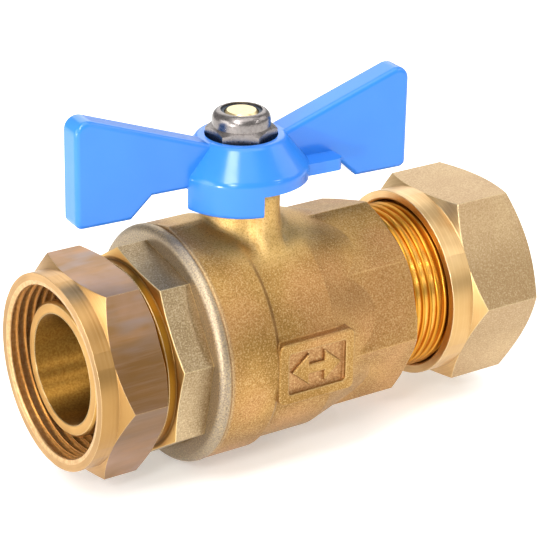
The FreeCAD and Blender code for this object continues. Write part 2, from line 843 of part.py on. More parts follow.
def make_lock_nut():
    body = new_body("lock_nut")
    corner = "lock_flats / 2 / cos(30)"
    rise = corner + " + cut_margin"
    hexagon = []
    for number in range(6):
        angle = "lock_turn + %g" % (30 + 60 * number)
        hexagon.append(("(%s) * cos(%s)" % (corner, angle), "(%s) * sin(%s)" % (corner, angle)))
    extrude(body, "hexagon", "XY_Plane", hexagon, "lock_height", lift="web_top")
    hex_top = "web_top + lock_hex_height"
    spin(body, "collar", [
        ("lock_collar_radius - lock_collar_round", "lock_top"),
        ("lock_collar_radius", "lock_top - lock_collar_round", "lock_collar_round", -1),
        ("lock_collar_radius", hex_top),
        (rise, "%s - (%s - lock_collar_radius) * tan(lock_bevel)" % (hex_top, rise)),
        (rise, "lock_top"),
    ], axis="Z", cut=True)
    spin(body, "foot_bevel", [
        ("lock_foot_radius", "web_top"),
        (rise, "web_top"),
        (rise, "web_top + (%s - lock_foot_radius) * tan(lock_bevel)" % rise),
    ], axis="Z", cut=True)
    spin(body, "screw_bore", [
        ("0", "web_top"),
        ("lock_bore", "web_top"),
        ("lock_bore", "web_top + insert_floor"),
        ("insert_radius", "web_top + insert_floor"),
        ("insert_radius", "lock_top - lip_height"),
        ("lip_radius", "lock_top - lip_height"),
        ("lip_radius", "lock_top"),
        ("0", "lock_top"),
    ], axis="Z", cut=True)
    return body


def make_lock_nut_insert():
    body = new_body("lock_nut_insert")
    inner = "screw_root + running_gap"
    spin(body, "nylon_ring", [
        (inner, "web_top + insert_floor"),
        ("insert_radius - running_gap", "web_top + insert_floor"),
        ("insert_radius - running_gap", "lock_top - lip_height"),
        (inner, "lock_top - lip_height"),
    ], axis="Z")
    return body


def check_document():
    for item in doc.Objects:
        if "Invalid" in item.State or "Error" in item.State:
            raise RuntimeError("%s failed: %s" % (item.Name, item.State))


def export(pieces):
    os.makedirs("parts", exist_ok=True)
    for piece in pieces:
        if piece.Shape.isNull() or not piece.Shape.isValid():
            raise RuntimeError("%s has no valid shape" % piece.Label)
    for piece in pieces:
        piece.Shape.exportStep(os.path.join("parts", piece.Label + ".step"))
        print("%-28s %d solid(s) %9.1f mm3" % (piece.Label, len(piece.Shape.Solids), piece.Shape.Volume))


fill_sheet()
stem_groove = "stem_radius - seal_groove_depth"
pieces = [
    make_valve_body(),
    make_end_connector(),
    make_union_nut(),
    make_nut_retaining_ring(),
    make_compression_nut(),
    make_compression_olive(),
    make_ball(),
    make_seat("seat_ring_union_side", "-", -1),
    make_seat("seat_ring_compression_side", "", 1),
    make_stem(),
    make_stem_thrust_washer(),
    make_butterfly_handle(),
    make_lock_nut(),
    make_lock_nut_insert(),
    make_seal_ring("stem_o_ring_lower", stem_groove, "stem_hole_radius", "z", "lower_seal"),
    make_seal_ring("stem_o_ring_upper", stem_groove, "stem_hole_radius", "z", "upper_seal"),
    make_seal_ring("body_seal_ring", "nose_radius", "counterbore_radius", "x",
                   "-(connector_thread_end + cavity_left) / 2"),
]
doc.recompute()
check_document()
export(pieces)
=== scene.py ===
import math
import bmesh
import bpy
from mathutils import Matrix, Vector


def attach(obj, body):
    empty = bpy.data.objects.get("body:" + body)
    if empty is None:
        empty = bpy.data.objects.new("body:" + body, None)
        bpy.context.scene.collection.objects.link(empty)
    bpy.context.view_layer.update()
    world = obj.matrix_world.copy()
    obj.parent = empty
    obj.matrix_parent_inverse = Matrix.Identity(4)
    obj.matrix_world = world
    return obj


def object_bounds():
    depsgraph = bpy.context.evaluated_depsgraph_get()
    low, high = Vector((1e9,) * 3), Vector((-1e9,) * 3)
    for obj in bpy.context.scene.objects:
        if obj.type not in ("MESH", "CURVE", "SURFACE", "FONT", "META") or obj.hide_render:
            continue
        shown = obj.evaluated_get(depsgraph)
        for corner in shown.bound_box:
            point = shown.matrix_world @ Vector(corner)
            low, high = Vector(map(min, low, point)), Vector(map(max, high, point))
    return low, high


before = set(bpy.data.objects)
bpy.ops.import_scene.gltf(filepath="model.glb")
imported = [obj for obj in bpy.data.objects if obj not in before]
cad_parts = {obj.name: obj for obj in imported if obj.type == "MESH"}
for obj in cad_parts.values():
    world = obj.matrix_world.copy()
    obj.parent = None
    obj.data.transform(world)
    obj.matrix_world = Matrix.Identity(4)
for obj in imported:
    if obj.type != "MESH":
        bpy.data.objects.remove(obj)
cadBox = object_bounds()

mm = 0.001  # the frame is in metres, the settings below are in millimetres

# sockets of a Mix node by number, because its kinds of data share their names
mixShare, numberA, numberB, colourA, colourB = 0, 2, 3, 6, 7
mixedNumber, mixedColour = 0, 2

acrossPipe, acrossStem = (0, 1, 1), (1, 1, 0)  # directions across the pipe axis X and the stem axis Z

# level at which each pattern, mark, painted edge highlight or painted nook shade sets in, and level at which
# it is full
setsIn = {
    "stain": {"From Min": 0.36, "From Max": 0.66},
    "drift": {"From Min": 0.42, "From Max": 0.62},
    "sparkle": {"From Min": 0.50, "From Max": 0.72},
    "pit": {"From Min": 0.48, "From Max": 0.28},
    "mottle": {"From Min": 0.35, "From Max": 0.65},
    "heat": {"From Min": 0.5, "From Max": 0.68},
    "streak": {"From Min": 0.45, "From Max": 0.72},
    "edgeHighlight": {"From Min": 0.99, "From Max": 0.88},  # cosine between the face and its rounded edge
    "open": {"From Min": 0.82, "From Max": 0.96},  # share of open air around the spot
    "nookShadeShare": {"From Min": 0.8, "From Max": 0.45},
}

roughVary = {"skin": 0.08, "turned": 0.06, "paint": 0.05, "small": 0.04}  # how far roughness strays each way
rayCount = 6  # rays that feel for edges and nooks around each spot


# colours, nodes and objects

def hexColour(text):  # sRGB hex to linear RGBA
    parts = [int(text[i:i + 2], 16) / 255 for i in (1, 3, 5)]
    return [p / 12.92 if p <= 0.04045 else ((p + 0.055) / 1.055) ** 2.4 for p in parts] + [1.0]


def perMetre(size):  # texture scale for a pattern of this size in mm
    return 1 / (size * mm)


def addNode(tree, kind, settings=(), links=()):
    node = tree.nodes.new(kind)
    for key, setting in dict(settings).items():
        if isinstance(key, str) and hasattr(node, key):
            setattr(node, key, setting)
        else:
            node.inputs[key].default_value = setting
    for key, source in dict(links).items():
        tree.links.new(source, node.inputs[key])
    return node


def newObject(name, mesh):
    thing = bpy.data.objects.new(name, mesh)
    bpy.context.scene.collection.objects.link(thing)
    return thing


def dress(node, material):  # a CAD node keeps its mesh and takes a new material
    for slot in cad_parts[node].material_slots:
        slot.material = material


# shares and places that the finishes are laid by

def layTints(tree, colour, tints):  # each tint covers its share of the colours under it
    for share, tint in tints:
        colour = addNode(tree, "ShaderNodeMix", {"data_type": "RGBA", colourB: hexColour(tint)},
                         {mixShare: share, colourA: colour}).outputs[mixedColour]
    return colour


def allOf(tree, shares):  # full only where every share is
    product = shares[0]
    for share in shares[1:]:
        product = addNode(tree, "ShaderNodeMath", {"operation": "MULTIPLY"},
                          {0: product, 1: share}).outputs["Value"]
    return product


def axisDistance(tree, spot, across):
    flat = addNode(tree, "ShaderNodeVectorMath", {"operation": "MULTIPLY", 1: across}, {0: spot})
    away = addNode(tree, "ShaderNodeVectorMath", {"operation": "LENGTH"}, {0: flat.outputs["Vector"]})
    return away.outputs["Value"]


def withinBore(tree, spot, bore):  # 1 on the wall of a bore, 0 further out
    inside = addNode(tree, "ShaderNodeMath", {"operation": "LESS_THAN", 1: bore["radius"] * mm},
                     {0: axisDistance(tree, spot, acrossPipe)})
    return inside.outputs["Value"]


def midHeightShade(tree, spot, paintedMidShade):  # painted shade at mid height of a nut, fading towards its top and bottom
    apart = addNode(tree, "ShaderNodeSeparateXYZ", {}, {"Vector": spot})
    height = addNode(tree, "ShaderNodeMath", {"operation": "ABSOLUTE"}, {0: apart.outputs["Z"]})
    share = addNode(tree, "ShaderNodeMapRange",
                    {"From Min": paintedMidShade["none"] * mm, "From Max": paintedMidShade["full"] * mm, "To Max": paintedMidShade["share"]},
                    {"Value": height.outputs["Value"]})
    return share.outputs["Result"]


# finishes: each gives colour, roughness and height for one way of working the surface

def blastedFinish(tree, spot, s):  # shot-blasted skin: even sparkle of small dents over soft stains
    dentShare = 0.35  # broad dents in the height, the rest of it is grit
    apart = addNode(tree, "ShaderNodeSeparateXYZ", {}, {"Vector": spot})
    stain = addNode(tree, "ShaderNodeTexNoise", {"Scale": perMetre(s["stain"]), "Detail": 3.0},
                    {"Vector": spot})
    grit = addNode(tree, "ShaderNodeTexNoise",
                   {"Scale": perMetre(s["grit"]), "Detail": 2.0, "Roughness": 0.65}, {"Vector": spot})
    dent = addNode(tree, "ShaderNodeTexNoise", {"Scale": perMetre(s["dent"]), "Detail": 1.0},
                   {"Vector": spot})
    spread = addNode(tree, "ShaderNodeMapRange", setsIn["stain"], {"Value": stain.outputs["Fac"]})
    body = addNode(tree, "ShaderNodeMix",
                   {"data_type": "RGBA", colourA: hexColour(s["dark"]), colourB: hexColour(s["mid"])},
                   {mixShare: spread.outputs["Result"]})
    tints = []
    if "drift" in s:  # broad warm patches that forging leaves under the blasting
        drift = s["drift"]
        warm = addNode(tree, "ShaderNodeTexNoise", {"Scale": perMetre(drift["size"]), "Detail": 1.0},
                       {"Vector": spot})
        share = addNode(tree, "ShaderNodeMapRange", {**setsIn["drift"], "To Max": drift["share"]},
                        {"Value": warm.outputs["Fac"]})
        tints.append((share.outputs["Result"], drift["tint"]))
    if "ash" in s:  # the end by the connector is duller and greyer
        ash = s["ash"]
        share = addNode(tree, "ShaderNodeMapRange",
                        {"From Min": ash["none"] * mm, "From Max": ash["full"] * mm, "To Max": ash["share"]},
                        {"Value": apart.outputs["X"]})
        tints.append((share.outputs["Result"], ash["tint"]))
    # painted shade: darker at mid height, on the side flats of a nut
    if "paintedMidShade" in s:
        tints.append((midHeightShade(tree, spot, s["paintedMidShade"]), s["paintedMidShade"]["tint"]))
    if "field" in s:  # the sunk field of the badge is darker and pinker
        within = [addNode(tree, "ShaderNodeMath", {"operation": "COMPARE", 1: middle * mm, 2: half * mm},
                          {0: apart.outputs[axis]}).outputs["Value"]
                  for axis, (middle, half) in s["field"]["box"].items()]
        tints.append((allOf(tree, within), s["field"]["tint"]))
    if "boss" in s:  # painted light: round the stem the skin is painted brighter, lifting the handle's shade and standing in for a highlight at the foot of the boss
        boss = s["boss"]
        close = addNode(tree, "ShaderNodeMapRange",
                        {"From Min": boss["none"] * mm, "From Max": boss["full"] * mm,
                         "To Max": boss["share"]},
                        {"Value": axisDistance(tree, spot, acrossStem)})
        above = addNode(tree, "ShaderNodeMapRange",
                        {"From Min": boss["low"] * mm, "From Max": boss["high"] * mm},
                        {"Value": apart.outputs["Z"]})
        tints.append((allOf(tree, [close.outputs["Result"], above.outputs["Result"]]), boss["tint"]))
    for kind, tint in (("sparkle", "light"), ("pit", "pit")):
        share = addNode(tree, "ShaderNodeMapRange", {**setsIn[kind], "To Max": s["sparkle"]},
                        {"Value": grit.outputs["Fac"]})
        tints.append((share.outputs["Result"], s[tint]))
    rough = addNode(tree, "ShaderNodeMapRange",
                    {"To Min": s["rough"] + roughVary["skin"], "To Max": s["rough"] - roughVary["skin"]},
                    {"Value": grit.outputs["Fac"]})
    height = addNode(tree, "ShaderNodeMix", {mixShare: dentShare},
                     {numberA: grit.outputs["Fac"], numberB: dent.outputs["Fac"]})
    colour = layTints(tree, body.outputs[mixedColour], tints)
    return colour, rough.outputs["Result"], height.outputs[mixedNumber]


def turnedFinish(tree, spot, s):  # lathe-turned skin: rings about the pipe axis, drawn coarse so they show
    toneShare = 0.5  # cloudy tone in the colour, the rest of it is rings
    apart = addNode(tree, "ShaderNodeSeparateXYZ", {}, {"Vector": spot})
    ringSpot = addNode(tree, "ShaderNodeCombineXYZ", {},
                       {"X": apart.outputs["X"], "Y": axisDistance(tree, spot, acrossPipe)})
    rings = addNode(tree, "ShaderNodeTexNoise",
                    {"Scale": perMetre(s["ring"]), "Detail": 3.0, "Roughness": 0.7},
                    {"Vector": ringSpot.outputs["Vector"]})
    tone = addNode(tree, "ShaderNodeTexNoise", {"Scale": perMetre(s["tone"]), "Detail": 2.0},
                   {"Vector": spot})
    mottle = addNode(tree, "ShaderNodeMix", {mixShare: toneShare},
                     {numberA: rings.outputs["Fac"], numberB: tone.outputs["Fac"]})
    spread = addNode(tree, "ShaderNodeMapRange", setsIn["mottle"], {"Value": mottle.outputs[mixedNumber]})
    base = addNode(tree, "ShaderNodeMix",
                   {"data_type": "RGBA", colourA: hexColour(s["turnedDark"]),
                    colourB: hexColour(s["turnedLight"])}, {mixShare: spread.outputs["Result"]})
    tints = []
    # painted shade: the turned collar darker at mid height
    if "paintedMidShade" in s:
        tints.append((midHeightShade(tree, spot, s["paintedMidShade"]), s["paintedMidShade"]["turned"]))
    for stretch in s.get("lightAndShadeAlongX", ()):  # painted shade and painted highlight that set in along the pipe
        share = addNode(tree, "ShaderNodeMapRange",
                        {"From Min": stretch["none"] * mm, "From Max": stretch["full"] * mm},
                        {"Value": apart.outputs["X"]})
        tints.append((share.outputs["Result"], stretch["tint"]))
    colour = layTints(tree, base.outputs[mixedColour], tints)
    rough = addNode(tree, "ShaderNodeMapRange",
                    {"To Min": s["turnedRough"] - roughVary["turned"],
                     "To Max": s["turnedRough"] + roughVary["turned"]}, {"Value": rings.outputs["Fac"]})
    rough, height = rough.outputs["Result"], rings.outputs["Fac"]
    if "reamed" in s:  # a reamer leaves the wall of the bore rougher and speckled
        bore = s["reamed"]
        inside = withinBore(tree, spot, bore)
        rough = addNode(tree, "ShaderNodeMath",
                        {"operation": "MULTIPLY_ADD", 1: bore["rough"] - s["turnedRough"]},
                        {0: inside, 2: rough}).outputs["Value"]
        speckle = addNode(tree, "ShaderNodeTexNoise", {"Scale": perMetre(bore["speckle"]), "Detail": 2.0},
                          {"Vector": spot})
        share = addNode(tree, "ShaderNodeMapRange", setsIn["mottle"], {"Value": speckle.outputs["Fac"]})
        wall = addNode(tree, "ShaderNodeMix",
                       {"data_type": "RGBA", colourA: hexColour(bore["dark"]),
                        colourB: hexColour(bore["light"])}, {mixShare: share.outputs["Result"]})
        colour = addNode(tree, "ShaderNodeMix", {"data_type": "RGBA"},
                         {mixShare: inside, colourA: colour,
                          colourB: wall.outputs[mixedColour]}).outputs[mixedColour]
        chatter = addNode(tree, "ShaderNodeTexNoise", {"Scale": perMetre(bore["ring"]), "Detail": 1.0},
                          {"Vector": ringSpot.outputs["Vector"]})
        deep = addNode(tree, "ShaderNodeMath", {"operation": "MULTIPLY", 1: bore["depth"] / s["turnedDepth"]},
                       {0: chatter.outputs["Fac"]})
        height = addNode(tree, "ShaderNodeMix", {},
                         {mixShare: inside, numberA: height,
                          numberB: deep.outputs["Value"]}).outputs[mixedNumber]
    return colour, rough, height


def drawnFinish(tree, spot, s):  # cold-drawn bar: long die lines along the bar and a dull warm tarnish
    along = addNode(tree, "ShaderNodeMapping", {"Scale": (s["lineShare"], 1, 1)}, {"Vector": spot})
    lines = addNode(tree, "ShaderNodeTexNoise",
                    {"Scale": perMetre(s["line"]), "Detail": 4.0, "Roughness": 0.65},
                    {"Vector": along.outputs["Vector"]})
    cloud = addNode(tree, "ShaderNodeTexNoise", {"Scale": perMetre(s["cloud"]), "Detail": 3.0},
                    {"Vector": spot})
    spread = addNode(tree, "ShaderNodeMapRange", setsIn["mottle"], {"Value": cloud.outputs["Fac"]})
    body = addNode(tree, "ShaderNodeMix",
                   {"data_type": "RGBA", colourA: hexColour(s["dark"]), colourB: hexColour(s["mid"])},
                   {mixShare: spread.outputs["Result"]})
    tints = []
    for stain in s["stains"]:  # heat tints drawn out along the bar
        moved = addNode(tree, "ShaderNodeMapping",
                        {"Location": (0, 0, stain["shift"] * mm), "Scale": (s["stainShare"], 1, 1)},
                        {"Vector": spot})
        patch = addNode(tree, "ShaderNodeTexNoise", {"Scale": perMetre(stain["size"]), "Detail": 2.0},
                        {"Vector": moved.outputs["Vector"]})
        share = addNode(tree, "ShaderNodeMapRange", {**setsIn["heat"], "To Max": stain["share"]},
                        {"Value": patch.outputs["Fac"]})
        tints.append((share.outputs["Result"], stain["tint"]))
    # painted shade: darker at mid height, on the side flats of the nut
    tints.append((midHeightShade(tree, spot, s["paintedMidShade"]), s["paintedMidShade"]["tint"]))
    streak = addNode(tree, "ShaderNodeMapRange", {**setsIn["streak"], "To Max": s["streak"]},
                     {"Value": lines.outputs["Fac"]})
    tints.append((streak.outputs["Result"], s["light"]))
    rough = addNode(tree, "ShaderNodeMapRange",
                    {"To Min": s["rough"] - roughVary["skin"], "To Max": s["rough"] + roughVary["skin"]},
                    {"Value": lines.outputs["Fac"]})
    colour = layTints(tree, body.outputs[mixedColour], tints)
    return colour, rough.outputs["Result"], lines.outputs["Fac"]


def rawSkinMask(tree, spot, facing, s):  # 1 on the skin left by forging or drawing, 0 where a tool has cut
    apart = addNode(tree, "ShaderNodeSeparateXYZ", {}, {"Vector": spot})
    turn = addNode(tree, "ShaderNodeSeparateXYZ", {}, {"Vector": facing})
    tilt = addNode(tree, "ShaderNodeMath", {"operation": "ABSOLUTE"}, {0: turn.outputs["X"]})
    tests = [("LESS_THAN", tilt.outputs["Value"], s["maxTilt"]),
             ("GREATER_THAN", axisDistance(tree, spot, acrossPipe), s["minRadius"] * mm),
             ("GREATER_THAN", apart.outputs["X"], s["fromX"] * mm),
             ("LESS_THAN", apart.outputs["X"], s["toX"] * mm)]
    return allOf(tree, [addNode(tree, "ShaderNodeMath", {"operation": test, 1: limit},
                                {0: measure}).outputs["Value"] for test, measure, limit in tests])


# materials

def startMaterial(name):
    material = bpy.data.materials.new(name)
    material.use_nodes = True
    tree = material.node_tree
    tree.nodes.clear()
    place = addNode(tree, "ShaderNodeTexCoord")
    shader = addNode(tree, "ShaderNodeBsdfPrincipled")
    addNode(tree, "ShaderNodeOutputMaterial", {}, {"Surface": shader.outputs["BSDF"]})
    return material, tree, place, shader


def finishMaterial(tree, shader, colour, rough, height, depth, edge=0, rootRound=None, paintedEdgesAndNooks=None):
    bump = addNode(tree, "ShaderNodeBump", {"Strength": 1.0, "Distance": depth * mm}, {"Height": height})
    if edge:  # broken edges, as tumbling and blasting leave them
        worn = addNode(tree, "ShaderNodeBevel", {"samples": rayCount, "Radius": edge * mm})
        if rootRound:  # near the stem axis the round widens, as at the root of a forged boss
            place = addNode(tree, "ShaderNodeTexCoord")
            grow = addNode(tree, "ShaderNodeMapRange",
                           {"From Min": rootRound["none"] * mm, "From Max": rootRound["full"] * mm,
                            "To Min": edge * mm, "To Max": rootRound["round"] * mm},
                           {"Value": axisDistance(tree, place.outputs["Object"], acrossStem)})
            tree.links.new(grow.outputs["Result"], worn.inputs["Radius"])
        if paintedEdgesAndNooks:  # painted highlight and painted shade: outer edges are painted paler than the faces, and the nooks are painted darker
            face = addNode(tree, "ShaderNodeNewGeometry")
            turn = addNode(tree, "ShaderNodeVectorMath", {"operation": "DOT_PRODUCT"},
                           {0: worn.outputs["Normal"], 1: face.outputs["Normal"]})
            edgeHighlight = addNode(tree, "ShaderNodeMapRange", {**setsIn["edgeHighlight"], "To Max": paintedEdgesAndNooks["share"]},
                             {"Value": turn.outputs["Value"]})
            nook = addNode(tree, "ShaderNodeAmbientOcclusion",
                           {"samples": rayCount, "only_local": True, "Distance": paintedEdgesAndNooks["reach"] * mm})
            clear = addNode(tree, "ShaderNodeMapRange", setsIn["open"], {"Value": nook.outputs["AO"]})
            nookShadeShare = addNode(tree, "ShaderNodeMapRange", {**setsIn["nookShadeShare"], "To Max": paintedEdgesAndNooks["share"]},
                            {"Value": nook.outputs["AO"]})
            outer = allOf(tree, [edgeHighlight.outputs["Result"], clear.outputs["Result"]])
            colour = layTints(tree, colour, [(outer, paintedEdgesAndNooks["edgeHighlight"]),
                                             (nookShadeShare.outputs["Result"], paintedEdgesAndNooks["nookShade"])])
        tree.links.new(worn.outputs["Normal"], bump.inputs["Normal"])
    tree.links.new(colour, shader.inputs["Base Color"])
    tree.links.new(rough, shader.inputs["Roughness"])
    tree.links.new(bump.outputs["Normal"], shader.inputs["Normal"])


def workedBrass(name, skin, s):  # brass with a raw skin where the mask says so and a turned one elsewhere
    material, tree, place, shader = startMaterial(name)
    spot, facing = place.outputs["Object"], place.outputs["Normal"]
    mask = rawSkinMask(tree, spot, facing, s)
    rawColour, rawRough, rawHeight = skin(tree, spot, s)
    cutColour, cutRough, cutHeight = turnedFinish(tree, spot, s)
    colour = addNode(tree, "ShaderNodeMix", {"data_type": "RGBA"},
                     {mixShare: mask, colourA: cutColour, colourB: rawColour})
    rough = addNode(tree, "ShaderNodeMix", {}, {mixShare: mask, numberA: cutRough, numberB: rawRough})
    shallow = addNode(tree, "ShaderNodeMath", {"operation": "MULTIPLY", 1: s["turnedDepth"] / s["depth"]},
                      {0: cutHeight})
    height = addNode(tree, "ShaderNodeMix", {},
                     {mixShare: mask, numberA: shallow.outputs["Value"], numberB: rawHeight})
    shader.inputs["Metallic"].default_value = 1.0
    bore = s.get("reamed", {})
    if "smear" in bore:  # reamer marks run round the bore, so a highlight there smears along it
        marks = addNode(tree, "ShaderNodeMath", {"operation": "MULTIPLY", 1: bore["smear"]},
                        {0: withinBore(tree, spot, bore)})
        around = addNode(tree, "ShaderNodeTangent", {"direction_type": "RADIAL", "axis": "X"})
        shader.inputs["Anisotropic Rotation"].default_value = bore["smearTurn"]
        tree.links.new(marks.outputs["Value"], shader.inputs["Anisotropic"])
        tree.links.new(around.outputs["Tangent"], shader.inputs["Tangent"])
    finishMaterial(tree, shader, colour.outputs[mixedColour], rough.outputs[mixedNumber],
                   height.outputs[mixedNumber], s["depth"], s["edge"], s.get("rootRound"), s.get("paintedEdgesAndNooks"))
    return material


# valve body: hot-forged brass, shot-blasted, with the male end and the bores turned

bodySettings = {
    "dark": "#926D38", "mid": "#B28A4F", "light": "#D3B681", "pit": "#705328",
    "grit": 0.26, "dent": 1.3, "stain": 9.0, "sparkle": 0.6, "rough": 0.46, "depth": 0.055, "edge": 0.5,
    "turnedDark": "#C98A2C", "turnedLight": "#F0BC5E", "turnedRough": 0.24, "ring": 0.5, "tone": 6.0,
    "turnedDepth": 0.012,
    "minRadius": 15.3, "maxTilt": 2.0, "fromX": -15.9, "toX": 24.45,  # raw skin, whichever way it faces
    "drift": {"tint": "#AE7E52", "size": 13.0, "share": 0.6},
    "ash": {"tint": "#968E80", "none": -13.0, "full": -14.4, "share": 0.8},
    "field": {"tint": "#A67B50",  # box as middle and half size
              "box": {"X": (2.2, 5.7), "Y": (-19.1, 0.2), "Z": (-0.4, 3.8)}},
    # painted light round the foot of the stem boss
    "boss": {"tint": "#DDB872", "none": 13.5, "full": 10.5, "low": 13.5, "high": 16.0, "share": 0.5},
    "rootRound": {"none": 13.5, "full": 10.0, "round": 3.0},
    # painted highlight on the outer edges and painted shade in the nooks
    "paintedEdgesAndNooks": {"edgeHighlight": "#DCC08A", "nookShade": "#94693A", "share": 0.35, "reach": 0.6},
}


def dressBody():
    material = workedBrass("forged_brass_blasted", blastedFinish, bodySettings)
    dress("valve_body", material)
    print("valve body dressed")
    return material


# flow arrow: a plain two-way arrow in relief in the sunk field of the badge

arrowSettings = {
    "name": "flow_arrow", "middle": (2.2, -0.4), "length": 9.4, "shaft": 1.7, "headLength": 3.2,
    "headWidth": 5.4, "floor": -19.05, "proud": 0.65, "edge": 0.22, "edgeSteps": 3, "edgeRound": 0.5,
}


def makeFlowArrow(material):
    s = arrowSettings
    tip, neck = s["length"] / 2, s["length"] / 2 - s["headLength"]
    half = [(tip, 0), (neck, s["headWidth"] / 2), (neck, s["shaft"] / 2)]
    outline = half + [(-x, z) for x, z in reversed(half)]
    outline += [(x, -z) for x, z in reversed(outline) if z > 0]
    mesh = bpy.data.meshes.new(s["name"])
    shape = bmesh.new()
    midX, midZ = s["middle"]
    corners = [shape.verts.new(((midX + x) * mm, s["floor"] * mm, (midZ + z) * mm)) for x, z in outline]
    face = shape.faces.new(corners)
    grown = bmesh.ops.extrude_face_region(shape, geom=[face])
    top = [v for v in grown["geom"] if isinstance(v, bmesh.types.BMVert)]
    bmesh.ops.translate(shape, verts=top, vec=(0, -s["proud"] * mm, 0))
    crest = [e for e in shape.edges if all(v in top for v in e.verts)]
    bmesh.ops.bevel(shape, geom=crest, offset=s["edge"] * mm, segments=s["edgeSteps"], profile=s["edgeRound"],
                    affect="EDGES")
    bmesh.ops.recalc_face_normals(shape, faces=shape.faces)
    shape.to_mesh(mesh)
    shape.free()
    mesh.materials.append(material)
    arrow = newObject(s["name"], mesh)
    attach(arrow, "valve")
    print("flow arrow", len(mesh.polygons), "faces")


# end connector: forged octagon with turned edges, shoulder, spigot and bore

connectorSettings = {
    "dark": "#937D5C", "mid": "#AE9876", "light": "#D8C6A4", "pit": "#74603F",
    "grit": 0.26, "dent": 1.3, "stain": 8.0, "sparkle": 0.55, "rough": 0.42, "depth": 0.04, "edge": 0.3,
    "turnedDark": "#AE8140", "turnedLight": "#C89C58", "turnedRough": 0.38, "ring": 0.35, "tone": 5.0,
    "turnedDepth": 0.03, "minRadius": 15.95, "maxTilt": 0.25, "fromX": -21.6, "toX": -15.4,
    "reamed": {"radius": 9.2, "rough": 0.5, "dark": "#906628", "light": "#AA7E38", "speckle": 0.35,
               "ring": 0.3, "depth": 0.003, "smear": 1.0, "smearTurn": 0.25},
    "lightAndShadeAlongX": [{"tint": "#80581A", "none": -31.0, "full": -27.0},  # painted shade on the shoulder and the near end of the spigot beside the nut
               {"tint": "#E2B870", "none": -21.45, "full": -21.35}],  # painted highlight: a bright line on the octagon where it is turned
    # painted highlight on the outer edges and painted shade in the nooks
    "paintedEdgesAndNooks": {"edgeHighlight": "#EAD6A6", "nookShade": "#5E4A30", "share": 0.75, "reach": 0.8},
}


def dressConnector():
    dress("end_connector", workedBrass("forged_brass_with_turned_spigot", blastedFinish, connectorSettings))
    print("end connector dressed")


# union nut: cut from drawn hexagon bar, with a turned collar, bevels and thread

unionSettings = {
    "dark": "#8E6C46", "mid": "#A0806A", "light": "#B4988A", "line": 0.7, "lineShare": 0.05, "streak": 0.16,
    "cloud": 9.0, "rough": 0.38, "depth": 0.006, "edge": 0.2,
    "stains": [{"tint": "#908C92", "size": 3.5, "share": 0.42, "shift": 0.0},
               {"tint": "#B8844E", "size": 3.0, "share": 0.36, "shift": 40.0}],
    "stainShare": 0.3,
    # painted shade on the side flats and collar at mid height
    "paintedMidShade": {"tint": "#6C4E2C", "turned": "#A07A46", "none": 12.0, "full": 6.0, "share": 0.8},
    "turnedDark": "#A47C48", "turnedLight": "#C69E68", "turnedRough": 0.36, "ring": 0.4, "tone": 6.0,
    "turnedDepth": 0.012, "minRadius": 15.9, "maxTilt": 0.25, "fromX": -32.0, "toX": -23.0,
    # the inner wall is painted paler than the outside, as painted light in the shaded mouth
    "reamed": {"radius": 14.9, "rough": 0.4, "dark": "#BE9664", "light": "#D2AE7C", "speckle": 0.6,
               "ring": 0.3, "depth": 0.012},
    # painted highlight on the outer edges and painted shade in the nooks
    "paintedEdgesAndNooks": {"edgeHighlight": "#DDBE92", "nookShade": "#6A4828", "share": 0.6, "reach": 0.6},
}


def dressUnionNut():
    material = workedBrass("drawn_brass_bar", drawnFinish, unionSettings)
    dress("union_nut", material)
    print("union nut dressed")
    return material


# compression nut: pressed brass with a fine pale blasted skin and a turned collar

glandSettings = {
    "dark": "#B0926C", "mid": "#BCA078", "light": "#DCC8A2", "pit": "#8E744C",
    "grit": 0.28, "dent": 1.2, "stain": 10.0, "sparkle": 0.42, "rough": 0.46, "depth": 0.03, "edge": 0.3,
    "turnedDark": "#BE9864", "turnedLight": "#DEBE8C", "turnedRough": 0.36, "ring": 0.4, "tone": 5.0,
    "turnedDepth": 0.012, "minRadius": 15.9, "maxTilt": 0.25, "fromX": 36.45, "toX": 49.6,
    # painted shade on the side flats and collar at mid height
    "paintedMidShade": {"tint": "#9A7E58", "turned": "#BE9860", "none": 12.0, "full": 6.0, "share": 0.7},
    # painted highlight on the outer edges and painted shade in the nooks
    "paintedEdgesAndNooks": {"edgeHighlight": "#EAD8AE", "nookShade": "#7A5E38", "share": 0.6, "reach": 0.6},
}


def dressCompressionNut():
    dress("compression_nut", workedBrass("pressed_brass_fine_blasted", blastedFinish, glandSettings))
    print("compression nut dressed")


# threads: a ridge swept along a spiral about the pipe axis, fading out at both ends

threadBrass = {
    "turnedDark": "#C48226", "turnedLight": "#DC9C3A", "turnedRough": 0.3, "ring": 0.6, "tone": 5.0,
    "depth": 0.008,
}

# painted light: paler than the nut's brass, so the thread in the shaded mouth looks lit
nutThreadBrass = {
    "turnedDark": "#DDB67C", "turnedLight": "#F2D29E", "turnedRough": 0.4, "ring": 0.6, "tone": 5.0,
    "depth": 0.008,
}

maleThread = {
    "name": "male_thread", "body": "valve", "slot": "blasted_brass", "start": 25.9, "pitch": 1.5,
    "turns": 9.0, "rootRadius": 13.5, "height": 0.3, "foot": 1.48, "crest": 0.3, "fade": 0.05,
}

unionThread = {
    "name": "union_nut_thread", "body": "union_nut", "slot": "drawn_brass", "start": -34.75, "pitch": 1.5,
    "turns": 5.0, "rootRadius": 14.8, "height": -0.75, "foot": 1.1, "crest": 0.5, "fade": 0.03,
}

threadSteps = {"perTurn": 96, "thinnest": 0.02}  # points in a turn, and share of the ridge left at its ends

